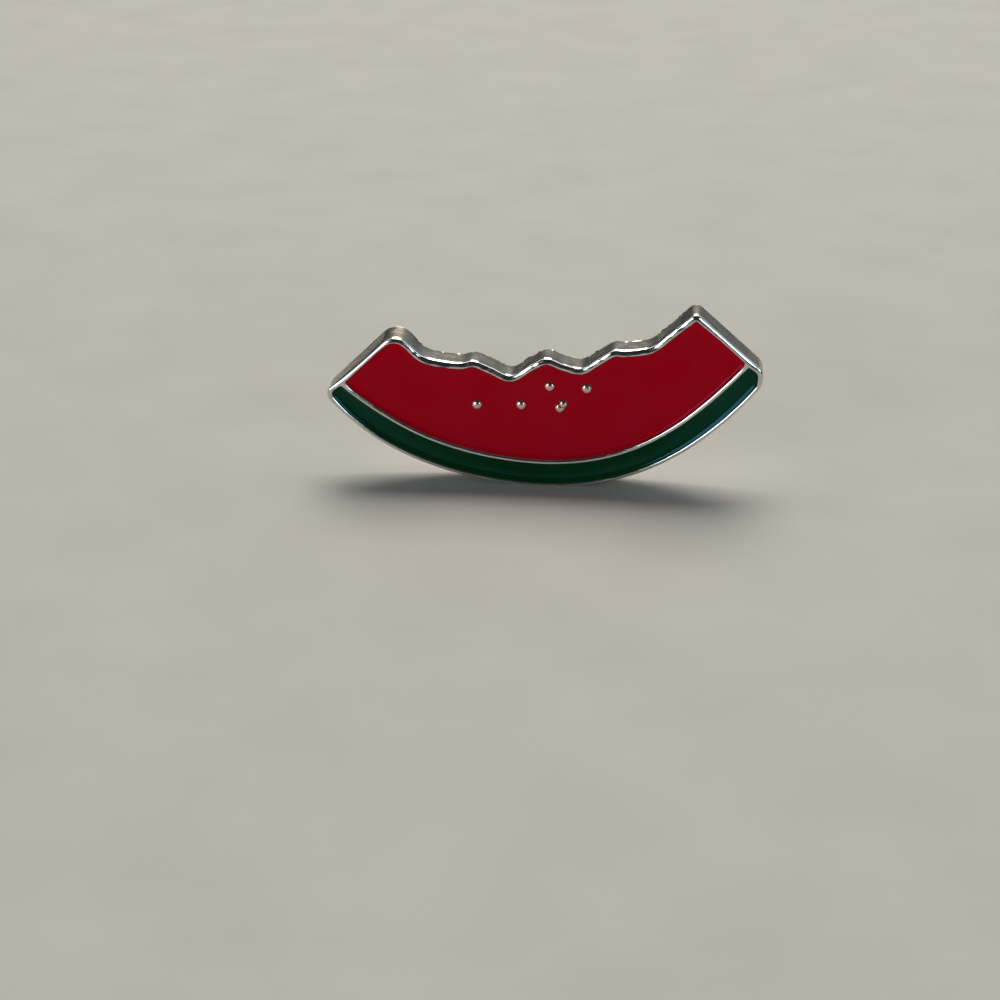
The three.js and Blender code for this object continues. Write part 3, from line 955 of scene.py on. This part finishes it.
# ---- Materials -----------------------------------------------------------------------------------


def set_stops(node, stops):
    """Gives a colour ramp its stops, as (value, colour) pairs."""
    elements = node.color_ramp.elements
    while len(elements) < len(stops):
        elements.new(0.5)
    for element, (at, colour) in zip(elements, stops):
        element.position = at
        element.color = (*colour, 1)


class Finish:
    """A material whose nodes follow the piece's own coordinates. Sizes are in millimetres."""

    def __init__(self, name):
        self.material = bpy.data.materials.new(name)
        self.material.use_nodes = True
        self.nodes = self.material.node_tree.nodes
        self.shader = self.nodes["Principled BSDF"]
        self.coordinates = self.nodes.new("ShaderNodeTexCoord").outputs["Object"]

    def link(self, source, target):
        """Leads one node's output to another's input."""
        self.material.node_tree.links.new(source, target)

    def set(self, **values):
        """Plain values for the shader's sockets, with _ for the spaces in their names."""
        for name, value in values.items():
            self.shader.inputs[name.replace("_", " ")].default_value = value

    def noise(self, size, detail=3, stretch=(1, 1, 1)):
        """Smooth noise whose features are about a size across, drawn out along axes by stretch."""
        mapping = self.nodes.new("ShaderNodeMapping")
        mapping.inputs["Scale"].default_value = [1 / (size * MM * s) for s in stretch]
        self.link(self.coordinates, mapping.inputs["Vector"])
        texture = self.nodes.new("ShaderNodeTexNoise")
        texture.inputs["Scale"].default_value = 1
        texture.inputs["Detail"].default_value = detail
        self.link(mapping.outputs["Vector"], texture.inputs["Vector"])
        return texture.outputs["Fac"]

    def cells(self, size):
        """Distance from the middles of random cells that are about a size across."""
        texture = self.nodes.new("ShaderNodeTexVoronoi")
        texture.inputs["Scale"].default_value = 1 / (size * MM)
        self.link(self.coordinates, texture.inputs["Vector"])
        return texture.outputs["Distance"]

    def ramp(self, source, *stops):
        """Colours or greys by a source's value, as (value, colour) pairs."""
        node = self.nodes.new("ShaderNodeValToRGB")
        set_stops(node, [(at, c if isinstance(c, tuple) else (c, c, c)) for at, c in stops])
        self.link(source, node.inputs["Fac"])
        return node.outputs["Color"]

    def blend(self, factor, varied, plain):
        """A varied colour that goes over to a plain one by a factor."""
        node = self.nodes.new("ShaderNodeMix")
        node.data_type = "RGBA"
        self.link(factor, node.inputs[0])
        self.link(varied, node.inputs[6])
        node.inputs[7].default_value = (*plain, 1)
        return node.outputs[2]

    def bump(self, source, depth, after=None):
        """Relief of a depth in millimetres, on top of earlier relief."""
        node = self.nodes.new("ShaderNodeBump")
        node.inputs["Strength"].default_value = 1
        node.inputs["Distance"].default_value = depth * MM
        self.link(source, node.inputs["Height"])
        if after is not None:
            self.link(after, node.inputs["Normal"])
        return node.outputs["Normal"]

    def feed(self, **sources):
        """Links sources to the shader's sockets, with _ for the spaces in their names."""
        for name, source in sources.items():
            self.link(source, self.shader.inputs[name.replace("_", " ")])


def rim_metal():
    """Nickel plate, polished, on the raised rim and the line."""
    finish = Finish("rim_nickel")
    finish.set(Metallic=1)
    tone = finish.ramp(finish.noise(1.4), (0.35, (0.62, 0.6, 0.57)), (0.65, (0.69, 0.675, 0.65)))
    gloss = finish.ramp(finish.noise(0.5, detail=5), (0.3, 0.09), (0.7, 0.2))
    relief = finish.bump(finish.noise(0.35, detail=4), 0.004)
    finish.feed(Base_Color=tone, Roughness=gloss, Normal=relief)
    return finish.material


def seed_metal_painted_reflection():
    """Nickel plate on the seeds, its colour tinted pink as a painted reflection of the red enamel round
    them.
    """
    finish = Finish("seed_nickel_painted_reflection")
    finish.set(Metallic=1)
    # The pink in these tones is painted reflection of the red enamel, not the metal's own colour.
    tone = finish.ramp(finish.noise(0.5), (0.35, (0.7, 0.42, 0.39)), (0.65, (0.78, 0.54, 0.51)))
    gloss = finish.ramp(finish.noise(0.3, detail=4), (0.3, 0.12), (0.7, 0.24))
    relief = finish.bump(finish.noise(0.16), 0.012)
    finish.feed(Base_Color=tone, Roughness=gloss, Normal=relief)
    return finish.material


def wall_metal():
    """Nickel plate over the satin side wall of the struck blank."""
    finish = Finish("wall_nickel")
    finish.set(Metallic=1)
    tone = finish.ramp(finish.noise(1.8), (0.3, (0.4, 0.362, 0.295)), (0.7, (0.535, 0.49, 0.41)))
    gloss = finish.ramp(finish.noise(0.6, detail=5), (0.3, 0.2), (0.7, 0.32))
    drawn = finish.bump(finish.noise(0.12, detail=4, stretch=(1, 5, 1)), 0.004)
    relief = finish.bump(finish.noise(0.7), 0.01, after=drawn)
    finish.feed(Base_Color=tone, Roughness=gloss, Normal=relief)
    return finish.material


def back_metal():
    """Nickel plate over the plate's finely pebbled back."""
    finish = Finish("back_nickel")
    finish.set(Metallic=1)
    tone = finish.ramp(finish.noise(2.5), (0.3, (0.55, 0.54, 0.51)), (0.7, (0.64, 0.63, 0.6)))
    gloss = finish.ramp(finish.noise(0.5, detail=5), (0.3, 0.2), (0.7, 0.34))
    pebbles = finish.bump(finish.cells(0.32), 0.02)
    relief = finish.bump(finish.noise(0.15), 0.006, after=pebbles)
    finish.feed(Base_Color=tone, Roughness=gloss, Normal=relief)
    return finish.material


def spun_metal(name):
    """Nickel plate on the thin stamped and turned parts behind the plate."""
    finish = Finish(name)
    finish.set(Metallic=1)
    tone = finish.ramp(finish.noise(1.2), (0.35, (0.6, 0.59, 0.565)), (0.65, (0.69, 0.68, 0.66)))
    gloss = finish.ramp(finish.noise(0.4, detail=5), (0.3, 0.12), (0.7, 0.27))
    relief = finish.bump(finish.noise(0.1, stretch=(1, 8, 1)), 0.0015)
    finish.feed(Base_Color=tone, Roughness=gloss, Normal=relief)
    return finish.material


def enamel_finish(name, deep, light, speck, gleam, shine):
    """Glossy enamel that clouds from deep to light, with fine specks. It gleams in shine's colour."""
    finish = Finish(name)
    finish.set(Specular_IOR_Level=gleam, Specular_Tint=(*shine, 1))
    clouded = finish.ramp(finish.noise(3.5, detail=2), (0.35, deep), (0.7, light))
    specked = finish.ramp(finish.cells(0.55), (0.0, 0.55), (0.045, 0.0))
    tone = finish.blend(specked, clouded, speck)
    gloss = finish.ramp(finish.noise(0.8, detail=5), (0.3, 0.05), (0.7, 0.11))
    relief = finish.bump(finish.noise(1.1, detail=1), 0.002)
    finish.feed(Base_Color=tone, Roughness=gloss, Normal=relief)
    return finish.material


def red_enamel():
    """The flesh's red, which shines pink."""
    return enamel_finish(
        "red_enamel",
        deep=(0.435, 0.0004, 0.0072),
        light=(0.415, 0.0035, 0.0112),
        speck=(0.55, 0.08, 0.1),
        gleam=0.3,
        shine=(1.0, 0.1, 0.26),
    )


def green_enamel():
    """The rind's green, which shines blue."""
    return enamel_finish(
        "green_enamel",
        deep=(0.0017, 0.0323, 0.0061),
        light=(0.0025, 0.0408, 0.0083),
        speck=(0.1, 0.2, 0.14),
        gleam=0.3,
        shine=(0.2, 0.6, 1.0),
    )


# ---- Floor, light and camera ---------------------------------------------------------------------


def floor():
    """A plain pale floor under the pin."""
    half = FLOOR_SIZE / 2
    mesh = bpy.data.meshes.new("floor")
    corners = [(-half, -half, 0), (half, -half, 0), (half, half, 0), (-half, half, 0)]
    mesh.from_pydata(corners, [], [(0, 1, 2, 3)])
    finish = Finish("floor_matte")
    finish.set(Roughness=0.75, Specular_IOR_Level=0.25)
    dark, light = (0.495, 0.478, 0.45), (0.528, 0.51, 0.48)
    finish.feed(Base_Color=finish.ramp(finish.noise(9), (0.3, dark), (0.7, light)))
    mesh.materials.append(finish.material)
    ground = bpy.data.objects.new("floor", mesh)
    bpy.context.scene.collection.objects.link(ground)


def surroundings():
    """A plain room: pale behind, dimmer on the left, and dark in front."""
    world = bpy.data.worlds.new("room")
    bpy.context.scene.world = world
    world.use_nodes = True
    nodes, links = world.node_tree.nodes, world.node_tree.links
    split = nodes.new("ShaderNodeSeparateXYZ")
    links.new(nodes.new("ShaderNodeTexCoord").outputs["Generated"], split.inputs["Vector"])

    def shade(source, stops, tint):
        """A tint of a brightness that goes by a source's value, as (value, brightness) pairs."""
        node = nodes.new("ShaderNodeValToRGB")
        set_stops(node, [(at, [level * part for part in tint]) for at, level in stops])
        links.new(source, node.inputs["Fac"])
        return node.outputs["Color"]

    def share(source, start, end):
        """0 up to start, 1 from end on, and straight between."""
        node = nodes.new("ShaderNodeMapRange")
        node.inputs["From Min"].default_value = start
        node.inputs["From Max"].default_value = end
        links.new(source, node.inputs["Value"])
        return node.outputs["Result"]

    def mix(one, other, blend_type="MIX"):
        """A mix node between two colours."""
        node = nodes.new("ShaderNodeMix")
        node.data_type = "RGBA"
        node.blend_type = blend_type
        links.new(one, node.inputs[6])
        links.new(other, node.inputs[7])
        return node

    front = shade(split.outputs["Z"], IN_FRONT, IN_FRONT_TINT)
    back = shade(split.outputs["Z"], BEHIND, BEHIND_TINT)
    sky = mix(front, back)
    links.new(share(split.outputs["Y"], *FRONT_TO_BACK), sky.inputs[0])
    from_left = share(split.outputs["X"], *LEFT_TO_RIGHT)
    dim = shade(from_left, [(0.0, LEFT_DIM), (1.0, 1.0)], (1, 1, 1))
    dimmed = mix(sky.outputs[2], dim, "MULTIPLY")
    dimmed.inputs[0].default_value = 1
    links.new(dimmed.outputs[2], nodes["Background"].inputs["Color"])


def lamp(name, azimuth, elevation, width, height, radiance, colour):
    """A soft lamp a metre from the pin, facing it. radiance is how bright its face looks."""
    light = bpy.data.lights.new(name, "AREA")
    light.shape = "RECTANGLE"
    light.size, light.size_y = width, height
    light.energy = radiance * math.pi * width * height
    light.color = colour
    holder = bpy.data.objects.new(name, light)
    aim = direction(azimuth, elevation)
    holder.location = aim
    holder.rotation_mode = "QUATERNION"
    holder.rotation_quaternion = aim.to_track_quat("Z", "Y")
    holder.visible_camera = False
    bpy.context.scene.collection.objects.link(holder)


def direction(azimuth, elevation):
    """A unit vector from the pin. Azimuth 0 is straight in front of its face, 90 to its right."""
    a, e = math.radians(azimuth), math.radians(elevation)
    return Vector((math.sin(a) * math.cos(e), -math.cos(a) * math.cos(e), math.sin(e)))


def camera():
    """The camera, level, a little to the pin's right and above it."""
    lens = bpy.data.cameras.new("camera")
    lens.sensor_width = CAMERA_SENSOR
    lens.lens = CAMERA_FOCAL_LENGTH
    lens.clip_start = CAMERA_NEAREST * MM
    back = direction(CAMERA_AZIMUTH, CAMERA_ELEVATION)
    target = Vector((CAMERA_TARGET[0] * MM, PLATE_LOW.y, CAMERA_TARGET[1] * MM))
    holder = bpy.data.objects.new("camera", lens)
    holder.location = target + back * CAMERA_DISTANCE * MM
    holder.rotation_mode = "QUATERNION"
    holder.rotation_quaternion = back.to_track_quat("Z", "Y")
    bpy.context.scene.collection.objects.link(holder)
    bpy.context.scene.camera = holder


# ---- The scene -----------------------------------------------------------------------------------

for piece, node, slot in (
    (plate(), "plate", "plated_metal"),
    (enamel("red", "enamel_red_fill", red_enamel()), "enamel_red", "red_enamel"),
    (enamel("green", "enamel_green_fill", green_enamel()), "enamel_green", "green_enamel"),
    (post(), "post", "post_metal"),
    (clutch_disc(), "clutch_base", "clutch_metal"),
    (clutch_wings(), "clutch_spring", "clutch_metal"),
):
    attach(piece, "root")
    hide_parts(node)

floor()
surroundings()
for name, values in LAMPS.items():
    lamp(name, *values)
camera()
bpy.context.scene.view_settings.view_transform = "Standard"
